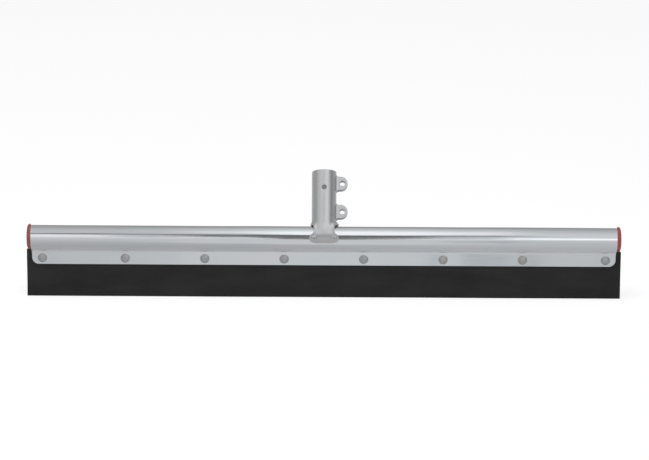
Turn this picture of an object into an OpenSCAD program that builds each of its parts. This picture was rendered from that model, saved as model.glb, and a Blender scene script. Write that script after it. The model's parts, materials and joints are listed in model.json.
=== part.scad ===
// Floor squeegee head: a rubber blade riveted into a rolled sheet channel, with plugs in
// the channel's ends and a split clamp socket for a round handle.
// The wiping edge lies on z = 0 and x runs along the blade. The front faces -y, and the
// socket leans back towards +y.

/* [Blade] */

// Length of the rubber blade
blade_len = 610; // [400:1:1000]
// Thickness of the rubber
blade_thick = 5; // [3:0.5:7]
// Height of rubber showing below the flanges
blade_lip = 34.4; // [15:0.2:60]

/* [Channel] */

// Thickness of the channel's sheet
sheet = 1.2; // [0.8:0.1:1.6]
// Outside diameter of the rolled tube
tube_od = 23.6; // [21:0.2:28]
// Slope of the walls between the tube and the flanges, from the blade's plane
wall_slope = 40; // [34:1:42]
// Outside radius of the bend from each wall into its flange
bend_r = 1.5; // [1:0.25:3]
// Height of the flat flange that grips the rubber
grip_h = 13.6; // [12:0.2:24]
// Rubber left past the channel at each end
overhang = 4; // [1:0.5:8]
// Radius of the flanges' lower corners
corner_r = 7; // [2:0.5:7]

/* [Blade rivets] */

// Number of rivets through the flanges
rivet_count = 8; // [4:1:10]
// Distance from the channel's end to the first rivet
rivet_inset = 12; // [9:0.5:30]
// Height of the rivets above the flanges' lower edge
rivet_rise = 6.6; // [5.4:0.2:7]
// How much closer than an even spacing the inner rivets stand
pitch_trim = 1; // [0:0.2:2]
// Diameter of the flat domed head
rivet_head_d = 10; // [8:0.5:10]
// Height of the head
rivet_head_h = 1.8; // [1:0.1:2.5]
// Diameter of the shank
rivet_shank_d = 4.8; // [3:0.2:5]
// Diameter of the rolled end behind the rear flange
rivet_roll_d = 8.4; // [7.6:0.2:9]
// Wall of the hollow rear half of the shank
rivet_wall = 0.9; // [0.6:0.1:1.2]

/* [End caps] */

// How far the cap's rim stands proud of the tube
cap_proud = 1.3; // [0.5:0.1:1.4]
// Thickness of the cap outside the tube
cap_thick = 4; // [3:0.5:6]
// Rounding of the cap's outer edge
cap_edge_r = 1.8; // [0.6:0.2:2.4]
// Depth of the plug inside the tube
plug_len = 16; // [8:1:30]
// Wall of the hollow plug
plug_wall = 2.2; // [1.4:0.2:3]
// Number of ribs round the plug
rib_count = 2; // [1:1:3]
// Width of each rib
rib_w = 1.6; // [0.8:0.2:2.4]
// How far the ribs stand proud of the plug
rib_proud = 0.3; // [0.1:0.1:0.6]

/* [Handle socket] */

// Outside diameter of the socket
socket_od = 25.4; // [24.4:0.2:26.2]
// Thickness of the socket's sheet
socket_sheet = 1.5; // [1.2:0.1:1.8]
// Distance from the tube's centre to the socket's rim
socket_rise = 70; // [64:1:110]
// Angle that the socket leans back from the blade's plane
socket_lean = 30; // [24:1:36]
// Width of the slit down the socket's side
slit_w = 4; // [2:0.5:5]
// Height of each clamp ear
ear_h = 14.5; // [13:0.5:20]
// Reach of each ear from the socket
ear_reach = 11.4; // [10:0.2:15]
// Distance from the rim to the upper ears' middle
ear_drop = 12.5; // [11:0.5:16]
// Distance between the upper and lower ears
ear_pitch = 30; // [22:1:34]
// Diameter of the clamp holes through the ears
ear_hole_d = 5.4; // [4:0.2:6.4]
// Distance from the clamp holes to the ears' tips
ear_edge = 5.4; // [4.6:0.2:6]
// Diameter of the hole for a screw into the handle
pin_hole_d = 5; // [3:0.5:7]
// Distance from the rim to that hole
pin_hole_drop = 19; // [10:1:30]

/* [Socket foot] */

// Distance between the two rivets of each flap
foot_pitch = 20.4; // [18:0.2:22]
// Radius of the tab around each rivet
tab_r = 5; // [4:0.2:5.6]
// How far the flap reaches below its rivets
foot_skirt = 5.4; // [4:0.2:6]
// Radius of the notch between the socket and each tab
notch_r = 3.5; // [2:0.25:4.5]
// Height angle of the front rivets on the tube
front_angle = 15; // [8:1:20]
// Height angle of the rear rivets on the tube
rear_angle = -24; // [-26:1:-16]
// Diameter of the blind rivets' heads
foot_head_d = 6.2; // [5:0.2:7]
// Height of the blind rivets' heads
foot_head_h = 1.5; // [1:0.1:2]
// Diameter of the blind rivets' shanks
foot_shank_d = 3.2; // [2.4:0.2:4]
// Wall left round the blind rivets' core holes
foot_wall = 0.6; // [0.4:0.1:0.9]
// Diameter of the blind rivets' bulbs inside the tube
bulb_d = 4.8; // [4.2:0.2:5.6]
// Length of those bulbs
bulb_len = 3; // [2:0.5:5]

/* [Hidden] */

$fn = 96;

// Clearance around rivet shanks in the sheet, and in the softer rubber
shank_clear = 0.05;
rubber_clear = 0.3;
// Clearance between an end cap's plug and the tube
plug_clear = 0.15;
// Clearance between the rubber and the end caps above it
cap_clear = 0.25;
// Widening of the socket below the length that holds the handle
relief = 0.3;
// Height of the handle's end above the tube
seat_rise = 2.4;
// Overrun of cuts past the surfaces that they open
over = 1;
// How far rounding arcs cross the lines that they round, so that all corners are clear
cross = 0.02;

tube_r = tube_od / 2;
tube_bore_r = tube_r - sheet;
flange_half = blade_thick / 2 + sheet;
bend_y = flange_half + bend_r - cross;
bend_drop = (tube_r + bend_r - 2 * cross - bend_y * cos(wall_slope)) / sin(wall_slope);
tube_z = blade_lip + grip_h + bend_drop;
flange_depth = bend_drop + grip_h;
channel_len = blade_len - 2 * overhang;

rivet_z = blade_lip + rivet_rise;
rivet_end = channel_len / 2 - rivet_inset;
rivet_pitch = 2 * rivet_end / (rivet_count - 1) - pitch_trim;

cap_r = tube_r + cap_proud;
blade_h = tube_z - cap_r - cap_clear;
plug_r = tube_bore_r - plug_clear;

socket_r = socket_od / 2;
socket_bore_r = socket_r - socket_sheet;
saddle_r = tube_r + socket_sheet;
seat_z = tube_r + seat_rise;
ear_round = ear_h / 2;
ear_mid = socket_r + ear_reach - ear_round;
ear_hole_x = socket_r + ear_reach - ear_edge;
foot_half = foot_pitch / 2;
notch_x = foot_half + notch_r - cross;
notch_z = sqrt(pow(tab_r + notch_r - cross, 2) - pow(notch_x - foot_half, 2));

zinc = [0.76, 0.78, 0.79];
rivet_steel = [0.62, 0.61, 0.59];
rubber = [0.14, 0.14, 0.15];
red_plastic = [0.62, 0.2, 0.2];

// The end rivets sit at a set distance from the channel's ends, the others at the pitch.
function rivet_x(i) =
    i == 1 ? -rivet_end :
    i == rivet_count ? rivet_end :
    (i - (rivet_count + 1) / 2) * rivet_pitch;

// Draws a section in the y-z plane along x, centred.
module along_x(length) {
    rotate([90, 0, 90])
        linear_extrude(length, center = true)
            children();
}

// Draws an outline in the x-z plane through the depth of the head, centred.
module through_y(depth) {
    rotate([90, 0, 0])
        linear_extrude(depth, center = true)
            children();
}

// A round bar on the tube's axis.
module tube_bar(r, length) {
    rotate([0, 90, 0])
        cylinder(r = r, h = length, center = true);
}

// The frame of the handle: origin on the tube's axis, z along the socket.
module on_socket() {
    translate([0, 0, tube_z])
        rotate([-socket_lean, 0, 0])
            children();
}

// The frame of a socket flap: origin on the tube's axis, rivets along -y.
module on_flap(rear) {
    translate([0, 0, tube_z])
        mirror([0, rear ? 1 : 0, 0])
            rotate([rear ? -rear_angle : -front_angle, 0, 0])
                children();
}

// Tube, sloping walls and flanges seen from the end, with the tube's centre at the origin.
// The bends from the walls into the flanges are arcs round shared centres.
module keyhole(r, half, bend, depth) {
    out = [cos(wall_slope), -sin(wall_slope)];
    upper = (r - cross) * out;
    centre = [bend_y, -bend_drop];
    lower = centre - (bend - cross) * out;
    right = [centre, lower, upper];
    left = [for (k = [2:-1:0]) [-right[k][0], right[k][1]]];
    circle(r);
    translate([-half, -depth])
        square([2 * half, depth]);
    difference() {
        polygon(concat(right, left));
        for (s = [-1, 1])
            translate([s * bend_y, -bend_drop])
                circle(bend);
    }
}

// What is taken off to round one lower corner of both flanges.
module corner_waste() {
    through_y(2 * flange_half + 2 * over)
        difference() {
            translate([-over, -over])
                square(corner_r + over);
            translate([corner_r, corner_r])
                circle(corner_r);
        }
}

module channel() {
    color(zinc)
        difference() {
            translate([0, 0, tube_z])
                along_x(channel_len)
                    difference() {
                        keyhole(tube_r, flange_half, bend_r, flange_depth);
                        keyhole(tube_bore_r, flange_half - sheet, bend_r + sheet, flange_depth + over);
                    }
            for (s = [0, 1])
                mirror([s, 0, 0])
                    translate([-channel_len / 2, 0, blade_lip])
                        corner_waste();
            for (i = [1:rivet_count])
                translate([rivet_x(i), 0, rivet_z])
                    through_y(2 * flange_half + 2 * over)
                        circle(d = rivet_shank_d + 2 * shank_clear);
            for (rear = [false, true])
                for (s = [-1, 1])
                    on_flap(rear)
                        translate([s * foot_half, 0, 0])
                            rotate([90, 0, 0])
                                cylinder(d = foot_shank_d + 2 * shank_clear, h = tube_r + over);
        }
}

module rubber_blade() {
    color(rubber)
        difference() {
            translate([-blade_len / 2, -blade_thick / 2, 0])
                cube([blade_len, blade_thick, blade_h]);
            for (i = [1:rivet_count])
                translate([rivet_x(i), 0, rivet_z])
                    through_y(blade_thick + 2 * over)
                        circle(d = rivet_shank_d + 2 * rubber_clear);
        }
}

// A low dome of diameter d and height h, standing on z = 0.
module dome(d, h) {
    ball = (d * d / 4 + h * h) / (2 * h);
    intersection() {
        translate([0, 0, h - ball])
            sphere(ball);
        cylinder(d = d, h = h + over);
    }
}

// One rivet through both flanges: domed head in front, hollow rolled end behind.
module blade_rivet(i) {
    roll = (rivet_roll_d - rivet_shank_d) / 2;
    hollow = rivet_shank_d / 2 - rivet_wall;
    color(rivet_steel)
        translate([rivet_x(i), 0, rivet_z])
            rotate([90, 0, 0]) {
                translate([0, 0, flange_half])
                    dome(rivet_head_d, rivet_head_h);
                translate([0, 0, -flange_half])
                    difference() {
                        union() {
                            cylinder(d = rivet_shank_d, h = 2 * flange_half);
                            intersection() {
                                rotate_extrude()
                                    translate([rivet_roll_d / 2 - roll, 0])
                                        circle(roll);
                                translate([0, 0, -roll])
                                    cylinder(d = rivet_roll_d, h = roll);
                            }
                        }
                        translate([0, 0, -roll - over])
                            cylinder(r = hollow, h = roll + over + flange_half);
                    }
            }
}

// A round plug for the tube's end, with a thick rounded rim outside it.
module end_cap(side) {
    color(red_plastic)
        translate([side * channel_len / 2, 0, tube_z])
            rotate([0, side * 90, 0])
                rotate_extrude() {
                    square([cap_r, cap_thick - cap_edge_r]);
                    square([cap_r - cap_edge_r, cap_thick]);
                    translate([cap_r - cap_edge_r, cap_thick - cap_edge_r])
                        intersection() {
                            circle(cap_edge_r);
                            square(cap_edge_r);
                        }
                    translate([plug_r - rib_proud - plug_wall, -plug_len])
                        square([plug_wall, plug_len]);
                    for (k = [1:rib_count])
                        translate([plug_r - plug_wall, -k * plug_len / (rib_count + 1) - rib_w / 2])
                            square([plug_wall, rib_w]);
                }
}

// Front view of a flap: a skirt between two round tabs, with webs up to the notches.
module flap_outline() {
    translate([-foot_half, -foot_skirt])
        square([2 * foot_half, foot_skirt + saddle_r]);
    for (s = [-1, 1])
        translate([s * foot_half, 0])
            circle(tab_r);
    polygon([[-foot_half, 0], [foot_half, 0], [notch_x, notch_z], [-notch_x, notch_z]]);
}

// The two notches that narrow a flap to its neck.
module notches() {
    for (s = [-1, 1])
        translate([s * notch_x, notch_z])
            circle(notch_r);
}

// A flap before the tube and the notches are cut out of it.
module flap_blank() {
    intersection() {
        tube_bar(saddle_r, 2 * (foot_half + tab_r + notch_r));
        rotate([90, 0, 0])
            linear_extrude(saddle_r + over)
                flap_outline();
    }
}

// Round-ended ear in its own plane, x out from the socket's axis.
module ear_outline() {
    root = socket_bore_r + socket_sheet / 4;
    translate([root, -ear_round])
        square([ear_mid - root, ear_h]);
    translate([ear_mid, 0])
        intersection() {
            circle(ear_round);
            translate([0, -ear_round])
                square([ear_round, ear_h]);
        }
}

// One ear beside the slit, in front of it for side -1 and behind it for side 1.
module ear(side) {
    translate([0, side * (slit_w + socket_sheet) / 2, 0])
        through_y(socket_sheet)
            difference() {
                ear_outline();
                translate([ear_hole_x, 0])
                    circle(d = ear_hole_d);
            }
}

// Barrel and flaps as formed sheet, open at the mouth and seated on the channel.
module socket_shell() {
    difference() {
        union() {
            on_socket()
                cylinder(r = socket_r, h = socket_rise);
            for (rear = [false, true])
                on_flap(rear)
                    flap_blank();
        }
        translate([0, 0, tube_z])
            along_x(4 * socket_r)
                keyhole(tube_r, flange_half, bend_r, flange_depth);
        for (rear = [false, true])
            on_flap(rear)
                rotate([90, 0, 0])
                    linear_extrude(saddle_r + over)
                        notches();
        on_socket() {
            translate([0, 0, seat_z])
                cylinder(r = socket_bore_r, h = socket_rise - seat_z + over);
            cylinder(r = socket_bore_r + relief, h = seat_z);
        }
    }
}

// What is cut through the formed sheet: slit, screw hole and rivet holes.
module socket_cuts() {
    on_socket() {
        translate([socket_bore_r / 2, -slit_w / 2, tube_r / 2])
            cube([socket_r, slit_w, socket_rise]);
        translate([0, -socket_bore_r / 2, socket_rise - pin_hole_drop])
            rotate([90, 0, 0])
                cylinder(d = pin_hole_d, h = socket_r);
    }
    for (rear = [false, true])
        for (s = [-1, 1])
            on_flap(rear)
                translate([s * foot_half, -tube_r / 2, 0])
                    rotate([90, 0, 0])
                        cylinder(d = foot_shank_d + 2 * shank_clear, h = saddle_r);
}

module handle_socket() {
    color(zinc) {
        difference() {
            socket_shell();
            socket_cuts();
        }
        on_socket()
            for (level = [0, 1])
                translate([0, 0, socket_rise - ear_drop - level * ear_pitch])
                    for (side = [-1, 1])
                        ear(side);
    }
}

// A blind rivet through a flap and the tube's wall: hollow head outside, bulb inside.
module socket_rivet(rear, s) {
    inner = tube_bore_r - bulb_len;
    color(rivet_steel)
        on_flap(rear)
            translate([s * foot_half, 0, 0])
                difference() {
                    union() {
                        difference() {
                            rotate([90, 0, 0]) {
                                translate([0, 0, saddle_r])
                                    dome(foot_head_d, foot_head_h);
                                translate([0, 0, saddle_r - over])
                                    cylinder(d = foot_head_d, h = over);
                            }
                            tube_bar(saddle_r, 2 * foot_head_d);
                        }
                        rotate([90, 0, 0])
                            translate([0, 0, inner])
                                cylinder(d = foot_shank_d, h = saddle_r - inner + foot_head_h / 2);
                        intersection() {
                            rotate([90, 0, 0])
                                translate([0, 0, inner])
                                    cylinder(d = bulb_d, h = bulb_len);
                            tube_bar(tube_bore_r, 2 * bulb_d);
                        }
                    }
                    rotate([90, 0, 0])
                        translate([0, 0, tube_bore_r])
                            cylinder(r = foot_shank_d / 2 - foot_wall, h = saddle_r);
                }
}

channel();
rubber_blade();
end_cap(-1);  // end_cap_left
end_cap(1);  // end_cap_right
handle_socket();
for (i = [1:rivet_count])
    blade_rivet(i);
socket_rivet(false, -1);  // socket_rivet_front_left
socket_rivet(false, 1);  // socket_rivet_front_right
socket_rivet(true, -1);  // socket_rivet_rear_left
socket_rivet(true, 1);  // socket_rivet_rear_right
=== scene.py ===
"""Looks of a floor squeegee head: formed sheet, rubber and moulded plastic round the frame."""

import json
import math

import bmesh
import bpy
import numpy as np
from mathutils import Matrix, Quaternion, Vector
from mathutils.geometry import delaunay_2d_cdt


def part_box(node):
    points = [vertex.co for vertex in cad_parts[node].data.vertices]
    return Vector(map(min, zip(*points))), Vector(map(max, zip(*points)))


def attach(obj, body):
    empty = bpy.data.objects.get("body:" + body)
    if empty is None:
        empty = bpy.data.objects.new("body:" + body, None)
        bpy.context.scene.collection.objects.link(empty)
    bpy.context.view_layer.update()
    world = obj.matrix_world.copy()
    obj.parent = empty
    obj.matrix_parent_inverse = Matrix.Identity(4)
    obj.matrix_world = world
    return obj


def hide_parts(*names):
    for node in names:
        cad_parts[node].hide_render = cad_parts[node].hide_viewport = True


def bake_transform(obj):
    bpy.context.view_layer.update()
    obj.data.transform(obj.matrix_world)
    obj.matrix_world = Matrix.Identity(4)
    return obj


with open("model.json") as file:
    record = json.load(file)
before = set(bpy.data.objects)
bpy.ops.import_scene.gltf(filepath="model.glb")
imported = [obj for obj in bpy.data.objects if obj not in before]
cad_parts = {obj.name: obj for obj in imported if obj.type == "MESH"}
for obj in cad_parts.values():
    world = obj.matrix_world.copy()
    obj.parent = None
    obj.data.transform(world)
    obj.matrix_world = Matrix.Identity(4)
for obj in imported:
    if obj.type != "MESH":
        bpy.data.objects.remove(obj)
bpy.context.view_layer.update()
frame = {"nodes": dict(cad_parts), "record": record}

MM = 0.001


def box_middle(name, axis):
    """Middle of a node's box along one axis."""
    low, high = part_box(name)
    return (low[axis] + high[axis]) / 2


# Sizes read from the frame
blade_low, blade_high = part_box("rubber_blade")
channel_low, channel_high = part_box("channel")
cap_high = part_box("end_cap_right")[1]
RIVETS = sorted(name for name in frame["nodes"] if name.startswith("blade_rivet_"))
RIVET_X = [box_middle(name, 0) for name in RIVETS]
RIVET_Z = box_middle(RIVETS[0], 2)
FOOT_X = box_middle("socket_rivet_front_right", 0)
MOUNTS = {mount["name"]: mount for mount in frame["record"]["mounts"]}

BLADE_LEN = blade_high.x - blade_low.x
BLADE_THICK = blade_high.y - blade_low.y
BLADE_TOP = blade_high.z
LIP = channel_low.z
CHANNEL_END = channel_high.x
TUBE_R = channel_high.y
TUBE_Z = channel_high.z - TUBE_R
CAP_R = cap_high.z - TUBE_Z
CAP_THICK = cap_high.x - CHANNEL_END

# Sheet of the channel: its ends step back over shares of the flange's height, and waves of
# (size, length, phase) run along it
SHEET = 1.2 * MM
CHANNEL_EDGE = 0.3 * MM
BEND_R = 1.0 * MM
WALL_LEAN = math.radians(38)
FLANGE_CORNER = 7.0 * MM
FLANGE_SHORT = 1.4 * MM
FLANGE_SHORT_SHARES = (0.7, 1.8)
RIVET_HOLE_R = 2.45 * MM
BLIND_HOLE_R = 1.65 * MM
FLANGE_BULGE = 0.16 * MM
BULGE_REACH = 14.0 * MM
SHEET_WAVES = [(0.05 * MM, 0.236, 0.4), (0.035 * MM, 0.131, 2.1), (0.02 * MM, 0.083, 4.4)]
WAVE_TWIST = 25.0 * MM

# Sheet of the handle socket, in a frame on the tube's axis with z along the handle
SOCKET_SHEET = 1.5 * MM
SOCKET_EDGE = 0.35 * MM
SLIT = 4.0 * MM
RIM_CORNER = 1.0 * MM
EAR_H = 14.5 * MM
EAR_TIP = 24.1 * MM
EAR_BEND = 1.2 * MM
EAR_ROOT_FILLET = 0.8 * MM
EAR_BLEND = (0.12 * MM, 1.6 * MM)
FRONT_RIVET_ANGLE = math.radians(15)
REAR_RIVET_ANGLE = math.radians(-24)

# The socket's foot: flaps with a round tab at each rivet, and a bay cut in beside the neck
FOOT_SKIRT = 5.4 * MM
TAB_R = 5.0 * MM
TAB_FROM = -70.0
TAB_TO = 65.7
SIDE_EDGE = 13.2 * MM
BAY_END = 14.8 * MM
BAY_DROP = 0.7 * MM
BAY_BOW = (4.2 * MM, 4.7 * MM)
FRONT_BAY = 2.6 * MM
REAR_BAY = 2.4 * MM

# Passages of the socket's form: along the handle, and round the barrel from a flap's middle
FLATTEN = (0.0, 15.0 * MM)
SEAT_SOFT = 0.4 * MM
SEAT_ROUND = (0.75 * BAY_END, BAY_END)
BAY_LIFT = 1.3 * MM
LIFT_ROUND = (7.5 * MM, 11.0 * MM)
LIFT_FROM = (0.0, 5.0 * MM)
LIFT_TO = (11.0 * MM, 15.0 * MM)
SIDE_FLARE = 1.1 * MM
SLIT_FLARE = 2.7 * MM
FLARE_ROUND = (12.0 * MM, 16.0 * MM)
FLARE_FROM = (4.0 * MM, 9.0 * MM)
FLARE_TO = (13.2 * MM, 17.7 * MM)

# Rubber blade, with waves of (size, length, phase) along its free edge
BLADE_EDGE = 0.35 * MM
RUBBER_HOLE_R = 2.7 * MM
END_SQUEEZE = 0.1 * MM
SQUEEZE_FADE = (0.75 * LIP, 0.8 * BLADE_TOP)
EDGE_WAVES = [(0.14 * MM, 0.31, 0.8), (0.08 * MM, 0.143, 3.0)]
WAVE_FADE = (0.3 * LIP, LIP)

# End plugs, with flat and rim of the moulding mark as shares of its size
SIDES = {"left": -1, "right": 1}
CAP_RIM = 1.2 * MM
CAP_EDGE = 0.3 * MM
CAP_EDGE_MIDDLE = (0.08 * MM, 0.1 * MM)
DOME_POWER = 4
GATE_R = 1.2 * MM
GATE_DEPTH = 0.3 * MM
GATE_FLAT = 0.8
GATE_RIM = 1.8
PLUG_R = 10.15 * MM
PLUG_LEN = 16.0 * MM
PLUG_WALL = 2.2 * MM
PLUG_CHAMFER = 0.6 * MM
PLUG_RIBS = 2
RIB_W = 1.6 * MM
RIB_OUT = 0.3 * MM

# Fineness of the meshes: steps along and across, points on rounds, turns of a rounded edge
CHANNEL_STEP = (3.0 * MM, 1.0 * MM)
BLADE_STEP = (6.0 * MM, 1.5 * MM)
BLADE_CORNER_CLEAR = 1.0 * MM
SOCKET_STEP = 0.8 * MM
FOOT_STEP = 1.0 * MM
HOLE_POINTS = 28
BLIND_HOLE_POINTS = 16
FLANGE_CORNER_POINTS = 12
TAB_POINTS = 16
BAY_POINTS = 14
EAR_POINTS = 30
FILLET_POINTS = 6
RIM_CORNER_POINTS = 5
DOME_POINTS = 22
LATHE_POINTS = 96
EDGE_TURNS = (0, 30, 60, 90)
SUPPORT = 0.25 * MM
NUDGE = 0.01 * MM
RIM_CLEAR = 0.6
MITRE_LIMIT = 0.6
WELD = 1e-7

# Materials: the fine bump of all, and the dulled zones, with painted shade on the socket's foot and
# painted light on the channel's neck, as stops of (height over a base, share)
BUMP_DEPTH = 0.05 * MM
BUMP_DETAIL = 2.0
BUMP_RANGE = (0.3, 0.7)
# Socket's foot near the tube: rougher, and darkened by painted shade
FOOT_DULL_AND_SHADE = [(5.0 * MM, 1), (15.0 * MM, 0)]
FOOT_ROUGH = 0.34
FOOT_PAINTED_SHADE = (0.53, 0.535, 0.54)
# Channel's neck just above the bend: rougher, and lightened by painted light
NECK_DULL_AND_LIGHT = [(-0.5 * MM, 0), (0.5 * MM, 1), (3.0 * MM, 1), (7.0 * MM, 0)]
NECK_ROUGH = 0.27
NECK_PAINTED_LIGHT = (0.855, 0.875, 0.90)

# Floor
FLOOR = 8.0
FLOOR_GRAIN = 3.0
FLOOR_SHADES = [(0.3, 0.88), (0.7, 0.9)]
FLOOR_GLOW = 0.78

# Studio: levels of light by the angle from the front, upwards over the top to the back
STUDIO_R = 3.0
STUDIO_SEGMENTS = (64, 32)
STUDIO_TOP = 2.0
STUDIO_LEFT = [
    (-180, 0.36), (-120, 0.45), (-77, 0.50), (-51, 0.54), (-29, 0.60), (-8, 0.69), (12, 0.84), (20, 1.05),
    (31, 1.2), (38, 0.75), (54, 0.62), (74, 0.65), (99, 0.58), (130, 0.45), (180, 0.36),
]
STUDIO_RIGHT = [
    (-180, 0.36), (-120, 0.5), (-70, 0.6), (-45, 0.63), (-23, 0.65), (-3, 0.71), (8, 0.9), (13, 1.4),
    (21, 1.4), (28, 0.85), (37, 0.8), (58, 0.78), (80, 0.68), (106, 0.56), (139, 0.42), (180, 0.36),
]
STUDIO_TURN = 0.34
# Dark wedge in it: middle and half width across, upper angle, depth at the middle, level
STUDIO_WEDGE = (0.01, 0.34, 47, 54, 0.165)
WEDGE_SOFT = 0.06
WEDGE_TOP_SOFT = 0.05
# Patches over that: middle and half width across, lowest and highest angle, level
STUDIO_SPOTS = [
    (0.03, 0.31, -52, 1, 0.74),
    (0.28, 0.035, -34, 0, 0.5),
    (-0.42, 0.13, 41.5, 49.5, 0.12),
    (-0.29, 0.085, 14, 42, 0.62),
    (0.235, 0.06, 8, 42, 0.6),
    (0.05, 0.37, 46, 132, 0.64),
    (0.06, 0.29, 46, 108, 0.81),
    (0.06, 0.24, 46, 93, 1.04),
    (0.05, 0.18, 46, 80, 1.22),
]
SPOT_SOFT = 0.3
# Walls at its sides: levels by the place across, as a share of the radius
STUDIO_WALLS = [
    (-1, 0.34), (-0.93, 0.36), (-0.84, 0.56), (-0.5, 0.66), (-0.34, 0.64), (-0.24, 0.84), (-0.16, 0.84),
    (0.2, 0.68), (0.28, 0.7), (0.42, 0.9), (0.56, 0.78), (0.7, 0.56), (0.82, 0.36), (0.9, 0.21),
    (0.96, 0.31), (1, 0.36),
]
WALLS_FROM = (0.17, 0.22)
WALL_BACK = 0.4
WALL_BACK_ANGLES = (95.0, 125.0)
WALL_LOW = 0.54
WALL_LOW_ANGLES = (5.0, -12.0)

# Surroundings, and lamps as (name, place, aim, size, power)
AMBIENT = 0.5
LIGHTS = [
    ("key_light", (-0.3, -0.7, 2.6), (0, 0, 0.05), 1.8, 57.0),
    ("fill_light", (1.1, -2.2, 0.9), (0, 0, 0.05), 1.4, 7.0),
]

# Camera
LENS = 243.2
SENSOR = 36.0
CLIP_END = 100.0
TARGET = (0.00050, 0.00217, 0.07047)
CAMERA_FAR = 4.5
CAMERA_RISE = math.radians(15)
CAMERA_ROLL = math.radians(0.31)


def smooth(low, high, value):
    """0 below low, 1 above high, and an even S between them."""
    t = np.clip((value - low) / (high - low), 0, 1)
    return t * t * (3 - 2 * t)


def between(rise, fall, value):
    """1 between a rising and a falling passage, and 0 outside them."""
    return smooth(*rise, value) * (1 - smooth(*fall, value))


def soft_max(a, b, soft):
    """The larger of two values, with the change from one to the other rounded."""
    near = np.maximum(soft - np.abs(a - b), 0) / soft
    return np.maximum(a, b) + near ** 2 * soft / 4


def mix(a, b, share):
    """A share of the way from a to b."""
    return a + (b - a) * share


def arc(centre, radius, start, end, count):
    """Points on a circle from one angle to another, in degrees, without the last."""
    angles = np.radians(np.linspace(start, end, count, endpoint=False))
    return np.stack([centre[0] + radius * np.cos(angles), centre[1] + radius * np.sin(angles)], 1)


def line(start, end, step):
    """Evenly spaced points from start towards end, without the end."""
    start, end = np.array(start), np.array(end)
    count = max(1, round(np.linalg.norm(end - start) / step))
    return start + (end - start) * np.linspace(0, 1, count, endpoint=False)[:, None]


def curve(p0, p1, p2, p3, count):
    """Points on a cubic curve, without the last."""
    t = np.linspace(0, 1, count, endpoint=False)[:, None]
    p0, p1, p2, p3 = (np.array(p) for p in (p0, p1, p2, p3))
    return (1 - t) ** 3 * p0 + 3 * t * (1 - t) ** 2 * p1 + 3 * t * t * (1 - t) * p2 + t ** 3 * p3


def hole(centre, radius, count=HOLE_POINTS):
    """A loop round a hole, clockwise, so that the sheet lies to its left."""
    return arc(centre, radius, 360, 0, count)


def left_normals(loop):
    """Normals to the left of a closed loop, lengthened at corners to keep an even offset."""
    ahead = np.roll(loop, -1, axis=0) - loop
    ahead /= np.linalg.norm(ahead, axis=1, keepdims=True)
    along = ahead + np.roll(ahead, 1, axis=0)
    along /= np.linalg.norm(along, axis=1, keepdims=True)
    stretch = np.maximum(np.sum(along * ahead, axis=1, keepdims=True), MITRE_LIMIT)
    return np.stack([-along[:, 1], along[:, 0]], 1) / stretch


def inside(points, loops):
    """Which points lie within the loops, by counting crossings."""
    odd = np.zeros(len(points), bool)
    for loop in loops:
        for (x0, y0), (x1, y1) in zip(loop, np.roll(loop, -1, axis=0)):
            if y0 != y1:
                crosses = (y0 > points[:, 1]) != (y1 > points[:, 1])
                odd ^= crosses & (points[:, 0] < x0 + (points[:, 1] - y0) / (y1 - y0) * (x1 - x0))
    return odd


def fill(loops, step):
    """Points and triangles that fill the loops, with a staggered grid of the given steps inside."""
    loops = [loop / step for loop in loops]
    rim = np.concatenate(loops)
    columns, rows = (np.arange(low, high, 1) + 0.5 for low, high in zip(rim.min(0), rim.max(0)))
    grid = np.stack(np.meshgrid(columns, rows), -1)
    grid[::2, :, 0] += 0.5
    grid = grid[inside(grid.reshape(-1, 2), loops).reshape(grid.shape[:2])]
    clear = np.ones(len(grid), bool)
    for point in rim:
        clear &= np.sum((grid - point) ** 2, axis=1) > RIM_CLEAR ** 2
    points = np.concatenate([rim, grid[clear]])
    edges, first = [], 0
    for loop in loops:
        ring = np.arange(first, first + len(loop))
        edges += list(zip(ring.tolist(), np.roll(ring, -1).tolist()))
        first += len(loop)
    made = delaunay_2d_cdt([Vector(p) for p in points], edges, [], 0, WELD)
    origin = [ids[0] for ids in made[3]]
    faces = np.array([[origin[i] for i in face] for face in made[2]])
    faces = faces[inside(points[faces].mean(axis=1), loops)]
    return points * step, faces


def offset(surface, points, depth):
    """Points at a depth under a surface that is given as a function of pattern points."""
    u, v = np.array([NUDGE, 0]), np.array([0, NUDGE])
    along_u = surface(points + u) - surface(points - u)
    along_v = surface(points + v) - surface(points - v)
    normal = np.cross(along_u, along_v)
    return surface(points) - depth * normal / np.linalg.norm(normal, axis=1, keepdims=True)


def make_object(name, points, faces):
    """A smooth mesh object in the scene."""
    mesh = bpy.data.meshes.new(name)
    mesh.from_pydata([tuple(p) for p in points], [], [tuple(f) for f in faces])
    mesh.validate()
    mesh.shade_smooth()
    piece = bpy.data.objects.new(name, mesh)
    bpy.context.scene.collection.objects.link(piece)
    return piece


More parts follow.
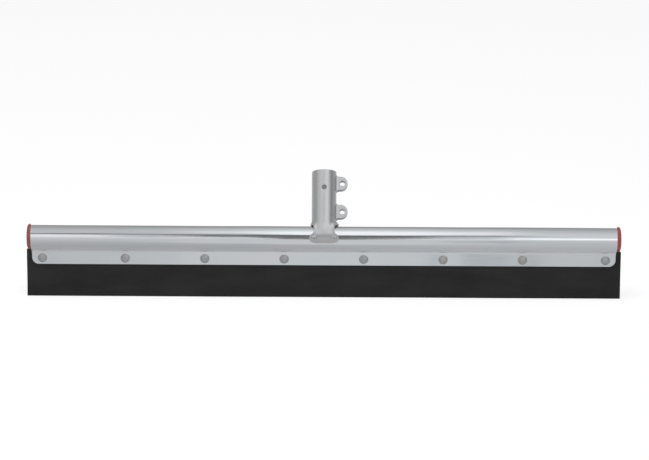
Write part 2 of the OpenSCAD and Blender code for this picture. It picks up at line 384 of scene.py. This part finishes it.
def sheet_piece(name, loops, step, thick, edge, surface):
    """A sheet cut along loops, formed over a surface, with rounded cut edges all round."""
    angles = [math.radians(turn) for turn in EDGE_TURNS]
    turns = [(edge * (1 - math.sin(a)), edge * (1 - math.cos(a))) for a in angles]
    rings = [*turns, *[(inset, thick - depth) for inset, depth in reversed(turns)]]
    normals = [left_normals(loop) for loop in loops]
    inner = [loop + n * (edge + SUPPORT) for loop, n in zip(loops, normals)]
    flat, filled = fill(inner, np.array(step))
    points = [offset(surface, flat, 0), offset(surface, flat, thick)]
    faces = filled.tolist() + (filled[:, ::-1] + len(flat)).tolist()
    total, first = 2 * len(flat), 0
    for loop, n in zip(loops, normals):
        ring_ids = [np.arange(first, first + len(loop))]
        for inset, depth in rings:
            points.append(offset(surface, loop + n * inset, depth))
            ring_ids.append(np.arange(total, total + len(loop)))
            total += len(loop)
        ring_ids.append(np.arange(first, first + len(loop)) + len(flat))
        for upper, lower in zip(ring_ids, ring_ids[1:]):
            quads = np.stack([upper, lower, np.roll(lower, -1), np.roll(upper, -1)], 1)
            faces += quads.tolist()
        first += len(loop)
    return make_object(name, np.concatenate(points), faces)


def lathe_piece(name, profile, side):
    """A profile of (out of the tube, from its axis) points, turned round the axis at one end."""
    out, radius = np.array(profile).T
    turns = np.linspace(0, 2 * math.pi, LATHE_POINTS, endpoint=False)
    rings = [np.stack([out, radius * math.cos(t), radius * math.sin(t)], 1) for t in turns]
    points = np.concatenate(rings) * (side, 1, 1) + (side * CHANNEL_END, 0, TUBE_Z)
    size = len(profile)
    faces = []
    for k in range(LATHE_POINTS):
        here, there = k * size, (k + 1) % LATHE_POINTS * size
        for i in range(size - 1):
            faces.append((here + i, here + i + 1, there + i + 1, there + i))
    piece = make_object(name, points, faces)
    body = bmesh.new()
    body.from_mesh(piece.data)
    bmesh.ops.remove_doubles(body, verts=body.verts, dist=WELD)
    bmesh.ops.recalc_face_normals(body, faces=body.faces)
    body.to_mesh(piece.data)
    body.free()
    return piece


# The channel's section as one path: front flange upwards, bend, slanting wall, tube, and down again
WALL_OUT, WALL_UP = math.cos(WALL_LEAN), math.sin(WALL_LEAN)
FLANGE_OUT = BLADE_THICK / 2 + SHEET
BEND_OUT = FLANGE_OUT + BEND_R
BEND_Z = TUBE_Z - (TUBE_R + BEND_R - BEND_OUT * WALL_OUT) / WALL_UP
FLANGE_H = BEND_Z - LIP
WALL_START = FLANGE_H + BEND_R * WALL_LEAN
WALL_LEN = (TUBE_Z - BEND_Z) * WALL_OUT - BEND_OUT * WALL_UP
TUBE_START = WALL_START + WALL_LEN
PATH_HALF = TUBE_START + TUBE_R * (WALL_LEAN + math.pi / 2)


def tube_path(angle):
    """Place on half the path where the tube faces up by this angle."""
    return TUBE_START + TUBE_R * (WALL_LEAN + angle)


def from_lip(v):
    """Distance along the path from the nearer lip."""
    return PATH_HALF - np.abs(v - PATH_HALF)


def section(v):
    """The channel's section in y and z along its path."""
    half = from_lip(v)
    bend = np.clip((half - FLANGE_H) / BEND_R, 0, WALL_LEAN)
    wall = np.clip(half - WALL_START, 0, WALL_LEN)
    rise = (half - TUBE_START) / TUBE_R - WALL_LEAN
    on_tube = half > TUBE_START
    low_out = BEND_OUT - BEND_R * np.cos(bend) + wall * WALL_UP
    low_z = np.minimum(half, FLANGE_H) + LIP + BEND_R * np.sin(bend) + wall * WALL_OUT
    out = np.where(on_tube, TUBE_R * np.cos(rise), low_out)
    z = np.where(on_tube, TUBE_Z + TUBE_R * np.sin(rise), low_z)
    return np.where(v < PATH_HALF, -out, out), z


def channel_surface(points):
    """The channel's outer face, bulged between the rivets and slightly wavy."""
    x, v = points.T
    y, z = section(v)
    (y0, z0), (y1, z1) = section(v - SUPPORT), section(v + SUPPORT)
    run = np.hypot(y1 - y0, z1 - z0)
    rivet = np.min(np.abs(x[:, None] - np.array(RIVET_X)), axis=1)
    bulge = FLANGE_BULGE * (1 - np.exp(-(rivet / BULGE_REACH) ** 2))
    swell = bulge * (1 - smooth(FLANGE_H / 2, TUBE_START, from_lip(v)))
    for size, length, phase in SHEET_WAVES:
        swell = swell + size * (1 + np.sin(2 * math.pi * x / length + phase + v / WAVE_TWIST))
    return np.stack([x, y - swell * (z1 - z0) / run, z + swell * (y1 - y0) / run], 1)


def channel_loops():
    """The channel's flat outline and the holes for its rivets."""
    top = 2 * PATH_HALF
    long_step, side_step = CHANNEL_STEP
    corner_x = CHANNEL_END - FLANGE_SHORT - FLANGE_CORNER
    side_v = np.arange(FLANGE_CORNER, top - FLANGE_CORNER, side_step)
    low, high = (FLANGE_H * share for share in FLANGE_SHORT_SHARES)
    side_x = CHANNEL_END - FLANGE_SHORT * (1 - smooth(low, high, from_lip(side_v)))
    half = np.concatenate([
        line((-corner_x, 0), (corner_x, 0), long_step),
        arc((corner_x, FLANGE_CORNER), FLANGE_CORNER, -90, 0, FLANGE_CORNER_POINTS),
        np.stack([side_x, side_v], 1),
        arc((corner_x, top - FLANGE_CORNER), FLANGE_CORNER, 0, 90, FLANGE_CORNER_POINTS),
    ])
    loops = [np.concatenate([half, np.array([0, top]) - half])]
    rivet_v = RIVET_Z - LIP
    loops += [hole((x, v), RIVET_HOLE_R) for x in RIVET_X for v in (rivet_v, top - rivet_v)]
    blind_v = (tube_path(FRONT_RIVET_ANGLE), top - tube_path(REAR_RIVET_ANGLE))
    for x in (-FOOT_X, FOOT_X):
        loops += [hole((x, v), BLIND_HOLE_R, BLIND_HOLE_POINTS) for v in blind_v]
    return loops


channel = sheet_piece(
    "channel_sheet", channel_loops(), CHANNEL_STEP, SHEET, CHANNEL_EDGE, channel_surface)


# Rubber blade, slightly wavy at its free edge and shorter where it stands out of the channel
def blade_surface(points):
    """The blade's front face."""
    x, v = points.T
    wave = sum(size * np.sin(2 * math.pi * x / length + phase) for size, length, phase in EDGE_WAVES)
    return np.stack([x, -BLADE_THICK / 2 + wave * (1 - smooth(*WAVE_FADE, v)), v], 1)


def blade_loops():
    """The blade's outline and the holes for its rivets."""
    long_step, side_step = BLADE_STEP
    end = BLADE_LEN / 2
    side_v = np.arange(0, BLADE_TOP - BLADE_CORNER_CLEAR, side_step)
    side_x = end - END_SQUEEZE * (1 - smooth(*SQUEEZE_FADE, side_v))
    right = np.stack([side_x, side_v], 1)
    lower = line((-side_x[0], 0), (side_x[0], 0), long_step)
    upper = line((end, BLADE_TOP), (-end, BLADE_TOP), long_step)
    left = np.concatenate([[(-end, BLADE_TOP)], (right * (-1, 1))[:0:-1]])
    outline = np.concatenate([lower, right, upper, left])
    return [outline] + [hole((x, RIVET_Z), RUBBER_HOLE_R) for x in RIVET_X]


blade = sheet_piece(
    "blade_rubber", blade_loops(), BLADE_STEP, BLADE_THICK, BLADE_EDGE, blade_surface)


# Handle socket, cut from a sheet whose pattern runs round the barrel, rear at the left
handle = MOUNTS["handle_socket"]
AXIS = Vector(handle["axis"]).normalized()
LEAN = math.atan2(AXIS.y, AXIS.z)


def along_handle(mount):
    """Place of a mount along the handle's axis, from the tube's."""
    return (Vector(mount["pos_m"]) - Vector((0, 0, TUBE_Z))).dot(AXIS)


SOCKET_R = handle["dims"]["r_mm"] * MM + SOCKET_SHEET
RIM = along_handle(handle) + handle["dims"]["length_mm"] * MM / 2
EARS = [MOUNTS["clamp_bolt_lower"], MOUNTS["clamp_bolt_upper"]]
SADDLE_R = TUBE_R + SOCKET_SHEET
QUARTER = SOCKET_R * math.pi / 2
SLIT_EDGE = SOCKET_R * (math.pi - math.asin(SLIT / 2 / SOCKET_R))
EAR_OUT = SLIT / 2 + SOCKET_SHEET
EAR_BEND_Y = EAR_OUT + EAR_BEND
EAR_BEND_X = math.sqrt((SOCKET_R + EAR_BEND) ** 2 - EAR_BEND_Y ** 2)
EAR_TURN = math.atan2(EAR_BEND_X, EAR_BEND_Y)
EAR_FROM = SOCKET_R * (math.pi / 2 + EAR_TURN)
EAR_FLAT = EAR_FROM + EAR_BEND * EAR_TURN
FRONT_RIVET_V = SADDLE_R * (FRONT_RIVET_ANGLE - LEAN)
REAR_RIVET_V = SADDLE_R * (REAR_RIVET_ANGLE + LEAN)


def barrel_path(a):
    """Section of the barrel, a along it from the closed side."""
    return -SOCKET_R * np.cos(a / SOCKET_R), SOCKET_R * np.sin(a / SOCKET_R)


def ear_path(a):
    """Section of the barrel with an ear, a along it from the closed side."""
    turn = np.clip((a - EAR_FROM) / EAR_BEND, 0, EAR_TURN)
    heading = 1.5 * math.pi - EAR_TURN + turn
    flat = np.maximum(a - EAR_FLAT, 0)
    on_barrel = a < EAR_FROM
    x, y = barrel_path(a)
    x = np.where(on_barrel, x, EAR_BEND_X + EAR_BEND * np.cos(heading) + flat)
    y = np.where(on_barrel, y, EAR_BEND_Y + EAR_BEND * np.sin(heading))
    return x, y


def socket_surface(points):
    """The socket's outer face over its pattern, s round the barrel and v along the handle."""
    s, v = points.T
    a = np.abs(s)
    x, y = barrel_path(a)
    ear_x, ear_y = ear_path(a)
    for ear in EARS:
        share = 1 - smooth(*EAR_BLEND, np.abs(v - along_handle(ear)) - EAR_H / 2)
        x, y = mix(x, ear_x, share), mix(y, ear_y, share)

    # Lower end, flattened and laid over the tube
    d = a - QUARTER
    flap = 1 - smooth(*FLATTEN, v)
    angle = np.minimum(v, 0) / SADDLE_R
    x = mix(x, d, flap)
    y = mix(y, SADDLE_R * np.cos(angle), flap)
    z = mix(v, SADDLE_R * np.sin(angle) + np.maximum(v, 0), flap)

    # Nothing inside the tube, and the neck's side edges lifted off it
    radius = np.hypot(y, z)
    seated = soft_max(radius, SADDLE_R, SEAT_SOFT)
    lift = BAY_LIFT * smooth(*LIFT_ROUND, np.abs(d)) * between(LIFT_FROM, LIFT_TO, v)
    push = mix(1, seated / radius, 1 - smooth(*SEAT_ROUND, np.abs(d))) + lift / radius
    y, z = y * push, z * push

    # Barrel's lower edge flared at the sides, more beside the slit
    flare = np.where(x > 0, SLIT_FLARE, SIDE_FLARE)
    low_side = between(FLARE_FROM, FLARE_TO, v) * smooth(*FLARE_ROUND, np.abs(d))
    x = x * (1 + flare / SOCKET_R * low_side)
    y = np.where(s > 0, -y, y)
    cos, sin = math.cos(LEAN), math.sin(LEAN)
    return np.stack([x, y * cos + z * sin, TUBE_Z - y * sin + z * cos], 1)


def foot_half(rivet_v, side_end, bay_pull):
    """Half of a flap's lower edge, from its middle out to the side of the barrel."""
    low = rivet_v - FOOT_SKIRT
    turn = math.radians(TAB_TO)
    leave = np.array([FOOT_X + TAB_R * math.cos(turn), rivet_v + TAB_R * math.sin(turn)])
    inward = leave + bay_pull * np.array([-math.sin(turn), math.cos(turn)])
    bow_x, bow_v = BAY_BOW
    bay = (BAY_END, SIDE_EDGE - BAY_DROP)
    return np.concatenate([
        line((0, low), (FOOT_X - FOOT_STEP, low), FOOT_STEP),
        arc((FOOT_X, rivet_v), TAB_R, TAB_FROM, TAB_TO, TAB_POINTS),
        curve(leave, inward, (BAY_END - bow_x, SIDE_EDGE - bow_v), bay, BAY_POINTS),
        line(bay, (side_end, SIDE_EDGE), SOCKET_STEP),
    ])


def foot_edge(rivet_v, bay_pull):
    """A flap's lower edge from the closed side of the barrel to the slit."""
    closed = foot_half(rivet_v, QUARTER, bay_pull)[::-1] * (-1, 1)
    slit = foot_half(rivet_v, SLIT_EDGE - QUARTER, bay_pull)[1:]
    return np.concatenate([closed, slit]) + (QUARTER, 0)


def slit_side():
    """The slit's edge from below upwards, out round each ear."""
    points, low = [], SIDE_EDGE
    root = SLIT_EDGE + EAR_ROOT_FILLET
    tip = EAR_FLAT + EAR_TIP - EAR_BEND_X - EAR_H / 2
    for ear in EARS:
        middle, half = along_handle(ear), EAR_H / 2
        start, end = middle - half - EAR_ROOT_FILLET, middle + half + EAR_ROOT_FILLET
        points += [
            line((SLIT_EDGE, low), (SLIT_EDGE, start), SOCKET_STEP),
            arc((root, start), EAR_ROOT_FILLET, 180, 90, FILLET_POINTS),
            arc((tip, middle), half, -90, 90, EAR_POINTS),
            arc((root, end), EAR_ROOT_FILLET, 270, 180, FILLET_POINTS),
        ]
        low = end
    corner = RIM - RIM_CORNER
    points += [
        line((SLIT_EDGE, low), (SLIT_EDGE, corner), SOCKET_STEP),
        arc((SLIT_EDGE - RIM_CORNER, corner), RIM_CORNER, 0, 90, RIM_CORNER_POINTS),
    ]
    return np.concatenate(points)


def socket_loops():
    """The socket's flat outline and all its holes."""
    front = np.concatenate([foot_edge(FRONT_RIVET_V, FRONT_BAY), slit_side()])
    rear = np.concatenate([foot_edge(REAR_RIVET_V, REAR_BAY), slit_side()])
    rim = line((SLIT_EDGE - RIM_CORNER, RIM), (RIM_CORNER - SLIT_EDGE, RIM), SOCKET_STEP)
    loops = [np.concatenate([front, rim, rear[:0:-1] * (-1, 1)])]
    for ear in EARS:
        bolt, bolt_r = EAR_FLAT + ear["pos_m"][0] - EAR_BEND_X, ear["dims"]["r_mm"] * MM
        loops += [hole((side * bolt, along_handle(ear)), bolt_r) for side in (-1, 1)]
    screw = MOUNTS["handle_screw_hole"]
    loops.append(hole((QUARTER, along_handle(screw)), screw["dims"]["r_mm"] * MM))
    for x in (-FOOT_X, FOOT_X):
        for centre in ((QUARTER + x, FRONT_RIVET_V), (-QUARTER - x, REAR_RIVET_V)):
            loops.append(hole(centre, BLIND_HOLE_R, BLIND_HOLE_POINTS))
    return loops


socket = sheet_piece(
    "socket_sheet", socket_loops(), (SOCKET_STEP, SOCKET_STEP), SOCKET_SHEET, SOCKET_EDGE, socket_surface)


# End plugs: a domed disc with a moulding mark, and a ribbed hollow plug inside the tube
def cap_profile():
    """Section of a plug from the axis, over the disc, along the plug and back inside it."""
    gate = CAP_THICK - GATE_DEPTH
    profile = [(gate, 0), (gate, GATE_R * GATE_FLAT), (CAP_THICK - GATE_DEPTH * GATE_FLAT, GATE_R)]
    for radius in np.linspace(GATE_R * GATE_RIM, CAP_R, DOME_POINTS):
        rise = math.sqrt(1 - (radius / CAP_R) ** DOME_POWER)
        profile.append((CAP_RIM + (CAP_THICK - CAP_RIM) * rise, radius))
    edge_out, edge_in = CAP_EDGE_MIDDLE
    profile += [(CAP_EDGE, CAP_R), (edge_out, CAP_R - edge_in), (0, CAP_R - CAP_EDGE), (0, PLUG_R)]
    for k in range(1, PLUG_RIBS + 1):
        rib = -PLUG_LEN * k / (PLUG_RIBS + 1)
        profile += [
            (rib + RIB_W / 2 + RIB_OUT, PLUG_R), (rib + RIB_W / 2, PLUG_R + RIB_OUT),
            (rib - RIB_W / 2, PLUG_R + RIB_OUT), (rib - RIB_W / 2 - RIB_OUT, PLUG_R),
        ]
    profile += [(PLUG_CHAMFER - PLUG_LEN, PLUG_R), (-PLUG_LEN, PLUG_R - PLUG_CHAMFER)]
    return profile + [(-PLUG_LEN, PLUG_R - PLUG_WALL), (0, PLUG_R - PLUG_WALL), (0, 0)]


caps = {word: lathe_piece("cap_plug_" + word, cap_profile(), side) for word, side in SIDES.items()}


# Nodes of the materials
def add(tree, kind, inputs=None, **settings):
    """A new node with its settings, and its inputs linked or set."""
    node = tree.nodes.new("ShaderNode" + kind)
    for key, value in settings.items():
        setattr(node, key, value)
    for key, value in (inputs or {}).items():
        if isinstance(value, bpy.types.NodeSocket):
            tree.links.new(value, node.inputs[key])
        else:
            node.inputs[key].default_value = value
    return node


def ramp(tree, value, stops):
    """A colour ramp over stops of (place, grey or colour)."""
    node = add(tree, "ValToRGB", {"Fac": value})
    elements = node.color_ramp.elements
    while len(elements) < len(stops):
        elements.new(1)
    for element, (place, shade) in zip(elements, stops):
        element.position = place
        element.color = (*shade, 1) if isinstance(shade, tuple) else (shade, shade, shade, 1)
    return node.outputs["Color"]


def remap(tree, value, start, end, low=0.0, high=1.0):
    """A value from start to end turned smoothly into one from low to high."""
    ends = {"From Min": start, "From Max": end, "To Min": low, "To Max": high}
    return add(tree, "MapRange", {"Value": value, **ends}, interpolation_type="SMOOTHSTEP").outputs[0]


def remap_even(tree, value, start, end):
    """A value from start to end turned evenly into one from 0 to 1."""
    return add(tree, "MapRange", {"Value": value, "From Min": start, "From Max": end}).outputs[0]


def noise(tree, scale, detail=3.0, stretch=(1, 1, 1)):
    """Noise in the part's own coordinates, stretched along its axes."""
    place = add(tree, "TexCoord").outputs["Object"]
    mapped = add(tree, "Mapping", {"Vector": place, "Scale": stretch}).outputs[0]
    return add(tree, "TexNoise", {"Vector": mapped, "Scale": scale, "Detail": detail}).outputs["Fac"]


def calc(tree, operation, a, b=0.0):
    """A sum, product or other operation on one or two values."""
    return add(tree, "Math", {0: a, 1: b}, operation=operation).outputs[0]


def blended(tree, share, a, b):
    """Two values mixed by a share."""
    return add(tree, "Mix", {"Factor": share, "A": a, "B": b}, data_type="FLOAT").outputs[0]


# Materials of the part
def finish(name, metallic, shades, rough, texture, bump, specular=0.5):
    """A surface whose shade follows a noise, with a fine bump that its roughness follows."""
    material = bpy.data.materials.new(name)
    material.use_nodes = True
    tree = material.node_tree
    shader = tree.nodes["Principled BSDF"]
    scale, strength, stretch = bump
    fine = noise(tree, scale, BUMP_DETAIL, stretch)
    height = add(tree, "Bump", {"Height": fine, "Strength": strength, "Distance": BUMP_DEPTH})
    tree.links.new(ramp(tree, noise(tree, *texture), shades), shader.inputs["Base Color"])
    tree.links.new(remap(tree, fine, *BUMP_RANGE, *rough), shader.inputs["Roughness"])
    tree.links.new(height.outputs[0], shader.inputs["Normal"])
    shader.inputs["Metallic"].default_value = metallic
    shader.inputs["Specular IOR Level"].default_value = specular
    return material


def dull_with_painted_light(material, base, stops, rough, shade):
    """Makes a metal rougher within stops above a base height, and mixes its colour there towards a given
    tone: painted light where the tone is lighter, painted shade where it is darker.
    """
    tree = material.node_tree
    shader = tree.nodes["Principled BSDF"]
    height = add(tree, "SeparateXYZ", {"Vector": add(tree, "TexCoord").outputs["Object"]}).outputs["Z"]
    low, high = stops[0][0], stops[-1][0]
    places = [((place - low) / (high - low), share) for place, share in stops]
    formed = ramp(tree, remap_even(tree, height, base + low, base + high), places)
    bright = shader.inputs["Roughness"].links[0].from_socket
    tree.links.new(blended(tree, formed, bright, rough), shader.inputs["Roughness"])
    colour = shader.inputs["Base Color"].links[0].from_socket
    # Painted light and shade: the base colour mixed towards the given tone within the zone
    painted_light_mix = add(tree, "MixRGB", {"Fac": formed, "Color1": colour, "Color2": (*shade, 1)})
    tree.links.new(painted_light_mix.outputs[0], shader.inputs["Base Color"])


# The bluish cast of the channel's zinc shades is painted reflection of cool light from below
zinc = finish(
    "zinc_bright", metallic=1.0,
    shades=[(0.30, (0.678, 0.722, 0.768)), (0.45, (0.698, 0.736, 0.757)),
            (0.58, (0.712, 0.732, 0.765)), (0.72, (0.722, 0.727, 0.75))],
    rough=(0.08, 0.12), texture=(14.0, 3.0, (1, 2.5, 2.5)), bump=(900.0, 0.03, (0.05, 1, 1)))
pressed = finish(
    "zinc_pressed", metallic=1.0,
    shades=[(0.30, (0.70, 0.73, 0.76)), (0.45, (0.72, 0.745, 0.745)),
            (0.58, (0.735, 0.74, 0.755)), (0.72, (0.745, 0.735, 0.74))],
    rough=(0.27, 0.31), texture=(30.0, 3.0, (1, 1, 1)), bump=(900.0, 0.005, (1, 1, 0.1)))
rivet_steel = finish(
    "rivet_dull", metallic=1.0,
    shades=[(0.35, (0.46, 0.455, 0.455)), (0.65, (0.54, 0.53, 0.53))],
    rough=(0.34, 0.48), texture=(260.0, 3.0, (1, 1, 1)), bump=(1400.0, 0.12, (1, 1, 1)))
rivet_blind = finish(
    "rivet_bright", metallic=1.0,
    shades=[(0.35, (0.62, 0.62, 0.62)), (0.65, (0.7, 0.7, 0.7))],
    rough=(0.34, 0.46), texture=(260.0, 3.0, (1, 1, 1)), bump=(1400.0, 0.1, (1, 1, 1)))
rubber = finish(
    "rubber_black", metallic=0.0, shades=[(0.35, 0.011), (0.65, 0.0165)],
    rough=(0.55, 0.72), texture=(60.0, 4.0, (0.3, 1, 1)), bump=(1500.0, 0.2, (1, 1, 1)),
    specular=0.25)
red = finish(
    "plastic_red", metallic=0.0,
    shades=[(0.35, (0.24, 0.046, 0.043)), (0.65, (0.285, 0.055, 0.051))],
    rough=(0.4, 0.52), texture=(120.0, 3.0, (1, 1, 1)), bump=(2200.0, 0.12, (1, 1, 1)),
    specular=0.4)
# Painted shade: the socket's foot darkened towards the tube
dull_with_painted_light(pressed, TUBE_Z, FOOT_DULL_AND_SHADE, FOOT_ROUGH, FOOT_PAINTED_SHADE)
# Painted light: the channel's neck lightened in a band above the bend
dull_with_painted_light(zinc, BEND_Z, NECK_DULL_AND_LIGHT, NECK_ROUGH, NECK_PAINTED_LIGHT)

# The pieces take the place of their nodes, and the rivets stay as solids with new materials
for piece, node, body, material, slot in (
        (channel, "channel", "head", zinc, "zinc_sheet"),
        (socket, "handle_socket", "head", pressed, "zinc_sheet"),
        (caps["left"], "end_cap_left", "head", red, "red_plastic"),
        (caps["right"], "end_cap_right", "head", red, "red_plastic"),
        (blade, "rubber_blade", None, rubber, "black_rubber")):
    piece.data.materials.append(material)
    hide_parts(node)
    if body:
        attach(piece, body)
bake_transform(blade)
for name, node in frame["nodes"].items():
    if "rivet" in name:
        for slot in node.material_slots:
            slot.material = rivet_blind if name.startswith("socket") else rivet_steel


# Things round the part
def seen_directly(tree):
    """1 for rays that look at a thing or mirror it, 0 for light that bounces."""
    rays = add(tree, "LightPath").outputs
    total = calc(tree, "ADD", rays["Is Camera Ray"], rays["Is Glossy Ray"])
    return calc(tree, "ADD", total, rays["Is Transmission Ray"])


def stage_material(name):
    """An empty material, its node tree and its output node."""
    material = bpy.data.materials.new(name)
    material.use_nodes = True
    material.node_tree.nodes.clear()
    return material, material.node_tree, add(material.node_tree, "OutputMaterial")


def stage_object(name, mesh, material):
    """An object of the stage, which isn't part of the squeegee."""
    thing = bpy.data.objects.new(name, mesh)
    bpy.context.scene.collection.objects.link(thing)
    mesh.materials.append(material)
    return thing


def make_floor():
    """A floor that reads as white and takes the shadow."""
    mesh = bpy.data.meshes.new("floor")
    corners = [(-FLOOR, -FLOOR, 0), (FLOOR, -FLOOR, 0), (FLOOR, FLOOR, 0), (-FLOOR, FLOOR, 0)]
    mesh.from_pydata(corners, [], [(0, 1, 2, 3)])
    pale, tree, output = stage_material("floor_pale")
    matte = add(tree, "BsdfDiffuse", {"Color": ramp(tree, noise(tree, FLOOR_GRAIN), FLOOR_SHADES)})
    glow = add(tree, "Emission", {"Color": (1, 1, 1, 1), "Strength": 1.0})
    share = calc(tree, "MULTIPLY", seen_directly(tree), FLOOR_GLOW)
    both = add(tree, "MixShader", {0: share, 1: matte.outputs[0], 2: glow.outputs[0]})
    tree.links.new(both.outputs[0], output.inputs["Surface"])
    stage_object("floor", mesh, pale).visible_glossy = False


def light_ramp(tree, value, reach, levels):
    """Levels of the studio's light by a value that runs from -reach to reach."""
    stops = [(place / (2 * reach) + 0.5, level / STUDIO_TOP) for place, level in levels]
    return ramp(tree, remap_even(tree, value, -reach, reach), stops)


def parted(tree, value, middle, half):
    """How far a value lies from a middle, in half widths."""
    return calc(tree, "DIVIDE", calc(tree, "SUBTRACT", value, middle), half)


def wedge_over(tree, level, x, angle):
    """The studio's light with the dark wedge, which is deepest in its middle."""
    middle, wide, high, depth, target = STUDIO_WEDGE
    across = calc(tree, "ABSOLUTE", parted(tree, x, middle, wide))
    fall = calc(tree, "DIVIDE", calc(tree, "SUBTRACT", high, angle), depth)
    within = remap(tree, calc(tree, "ADD", across, fall), 1 + WEDGE_SOFT, 1 - WEDGE_SOFT)
    dark = calc(tree, "MULTIPLY", within, remap(tree, fall, -WEDGE_TOP_SOFT, WEDGE_TOP_SOFT))
    return blended(tree, dark, level, target / STUDIO_TOP)


def spot_over(tree, level, x, angle, spot):
    """The studio's light with one soft round patch."""
    middle, wide, low, high, target = spot
    across = parted(tree, x, middle, wide)
    tall = parted(tree, angle, (low + high) / 2, (high - low) / 2)
    squares = [calc(tree, "MULTIPLY", value, value) for value in (across, tall)]
    within = remap(tree, calc(tree, "ADD", *squares), 1 + SPOT_SOFT, 1 - SPOT_SOFT)
    return blended(tree, within, level, target / STUDIO_TOP)


def walls_over(tree, level, x, angle):
    """The studio's light with its walls at the left and right."""
    sideways = calc(tree, "DIVIDE", x, STUDIO_R)
    wall = light_ramp(tree, sideways, 1.0, STUDIO_WALLS)
    wall = blended(tree, remap(tree, angle, *WALL_BACK_ANGLES), wall, WALL_BACK / STUDIO_TOP)
    wall = blended(tree, remap(tree, angle, *WALL_LOW_ANGLES), wall, WALL_LOW / STUDIO_TOP)
    return blended(tree, remap(tree, calc(tree, "ABSOLUTE", sideways), *WALLS_FROM), level, wall)


def make_studio():
    """A studio round the part, seen only where the part mirrors it."""
    mesh = bpy.data.meshes.new("studio")
    shell = bmesh.new()
    around, upwards = STUDIO_SEGMENTS
    bmesh.ops.create_uvsphere(shell, u_segments=around, v_segments=upwards, radius=STUDIO_R)
    shell.to_mesh(mesh)
    shell.free()
    paint, tree, output = stage_material("studio_paint")
    where = add(tree, "SeparateXYZ", {"Vector": add(tree, "NewGeometry").outputs["Position"]}).outputs
    x = where["X"]
    forward = calc(tree, "MULTIPLY", where["Y"], -1.0)
    angle = calc(tree, "DEGREES", calc(tree, "ARCTAN2", where["Z"], forward))
    left, right = (light_ramp(tree, angle, 180.0, levels) for levels in (STUDIO_LEFT, STUDIO_RIGHT))
    level = blended(tree, remap(tree, x, -STUDIO_TURN, STUDIO_TURN), left, right)
    level = wedge_over(tree, level, x, angle)
    for spot in STUDIO_SPOTS:
        level = spot_over(tree, level, x, angle, spot)
    level = walls_over(tree, level, x, angle)
    light = add(tree, "Emission", {"Color": level, "Strength": STUDIO_TOP})
    tree.links.new(light.outputs[0], output.inputs["Surface"])
    studio = stage_object("studio", mesh, paint)
    for ray in ("camera", "diffuse", "shadow", "transmission", "volume_scatter"):
        setattr(studio, "visible_" + ray, False)


def make_world():
    """Surroundings that are white where looked at, and softer as light."""
    world = bpy.data.worlds.new("white_room")
    bpy.context.scene.world = world
    world.use_nodes = True
    tree = world.node_tree
    sky = tree.nodes["Background"]
    sky.inputs["Color"].default_value = (1, 1, 1, 1)
    strength = remap(tree, seen_directly(tree), 0.0, 1.0, AMBIENT, 1.0)
    tree.links.new(strength, sky.inputs["Strength"])


def make_lamp(name, place, aim, size, power):
    """A round lamp that isn't mirrored itself."""
    lamp = bpy.data.lights.new(name, "AREA")
    lamp.shape, lamp.size, lamp.energy = "DISK", size, power
    panel = bpy.data.objects.new(name, lamp)
    panel.location = place
    panel.rotation_euler = (Vector(aim) - Vector(place)).to_track_quat("-Z", "Y").to_euler()
    panel.visible_glossy = False
    bpy.context.scene.collection.objects.link(panel)


def make_camera():
    """The photograph's view: a long lens from the front, a little above, rolled slightly."""
    view = bpy.data.cameras.new("camera")
    view.sensor_width, view.lens, view.clip_end = SENSOR, LENS, CLIP_END
    camera = bpy.data.objects.new("camera", view)
    away = Vector((0, -math.cos(CAMERA_RISE), math.sin(CAMERA_RISE))) * CAMERA_FAR
    camera.location = Vector(TARGET) + away
    facing = (-away).to_track_quat("-Z", "Y") @ Quaternion((0, 0, 1), CAMERA_ROLL)
    camera.rotation_euler = facing.to_euler()
    bpy.context.scene.collection.objects.link(camera)
    bpy.context.scene.camera = camera


make_floor()
make_studio()
make_world()
for lamp_values in LIGHTS:
    make_lamp(*lamp_values)
make_camera()
bpy.context.scene.view_settings.view_transform = "Standard"
